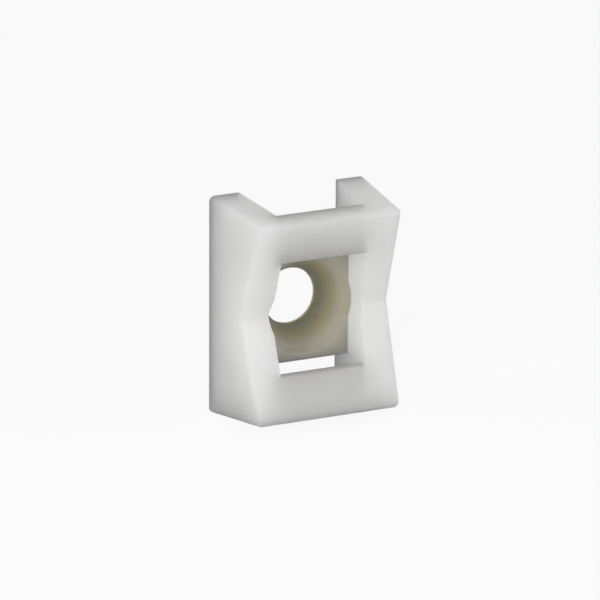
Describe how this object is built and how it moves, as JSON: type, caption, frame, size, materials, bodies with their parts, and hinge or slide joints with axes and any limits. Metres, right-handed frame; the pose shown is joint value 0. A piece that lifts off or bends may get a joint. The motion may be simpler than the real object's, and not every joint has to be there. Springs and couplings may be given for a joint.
{
  "type": "cable tie mount",
  "caption": "Screw-fixed saddle mount for a cable tie: one moulded block with a shallow V cradle, a window, a tie path behind the crossbars and a countersunk screw hole.",
  "frame": {"origin": "on the screw hole's axis, at the flat mounting face", "axes": "+Y out of the flat mounting face, towards the panel; -Y out of the cradle; +Z along the part, the way the tie runs behind the crossbars; X across the two side walls"},
  "size_m": [0.017, 0.0093, 0.022],
  "materials": {
    "natural_nylon": "satin, translucent off-white natural nylon, as moulded"
  },
  "bodies": {
    "root": {"tie_mount": "natural_nylon"}
  },
  "joints": []
}
